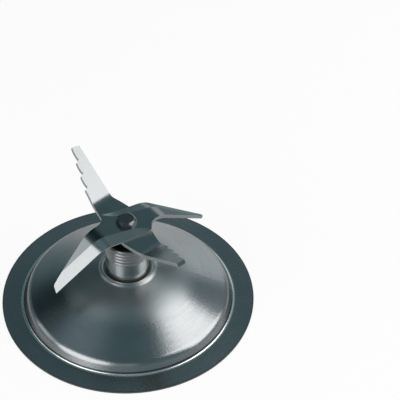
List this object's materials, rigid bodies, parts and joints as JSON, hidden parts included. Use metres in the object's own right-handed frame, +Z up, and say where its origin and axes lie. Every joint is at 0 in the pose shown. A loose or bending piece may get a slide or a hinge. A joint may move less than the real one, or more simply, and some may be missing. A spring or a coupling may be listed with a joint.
{
  "type": "blender blade assembly",
  "caption": "Base of a blender jar: steel dish with a bearing post, crossed bent blades that spin on top of the post, and a plastic claw coupling in the hollow below.",
  "frame": {"origin": "centre of the underside of the dish's flange, on the shaft's axis", "axes": "+Z up along the shaft, +X to the right in the picture, +Y away from the viewer"},
  "size_m": [0.1, 0.1, 0.0516],
  "materials": {
    "dish_steel": "polished sheet",
    "post_steel": "turned",
    "gasket_rubber": "matte",
    "washer_steel": "plain",
    "nut_steel": "plain",
    "bush_bronze": "sintered",
    "felt": "felt, oiled",
    "seal_rubber": "matte",
    "spring_steel": "drawn wire",
    "shaft_steel": "ground",
    "spacer_steel": "turned",
    "serrated_steel": "polished sheet",
    "plain_steel": "polished sheet with a ground edge",
    "bolt_steel": "plain",
    "coupling_plastic": "satin, moulded"
  },
  "bodies": {
    "base": {"base_dish": "dish_steel", "bearing_post": "post_steel", "post_gasket": "gasket_rubber", "lock_washer": "washer_steel", "ring_nut": "nut_steel", "lower_bush": "bush_bronze", "upper_bush": "bush_bronze", "oil_felt": "felt", "lower_thrust_washer": "washer_steel", "upper_thrust_washer": "washer_steel", "shaft_seal": "seal_rubber", "seal_spring": "spring_steel"},
    "rotor": {"drive_shaft": "shaft_steel", "blade_spacer": "spacer_steel", "serrated_blade": "serrated_steel", "plain_blade": "plain_steel", "blade_bolt": "bolt_steel", "drive_coupling": "coupling_plastic"}
  },
  "joints": [
    {"name": "blade_spin", "type": "hinge", "parent": "base", "child": "rotor", "pos_m": [0, 0, 0.02], "axis": [0, 0, 1], "continuous": true}
  ]
}
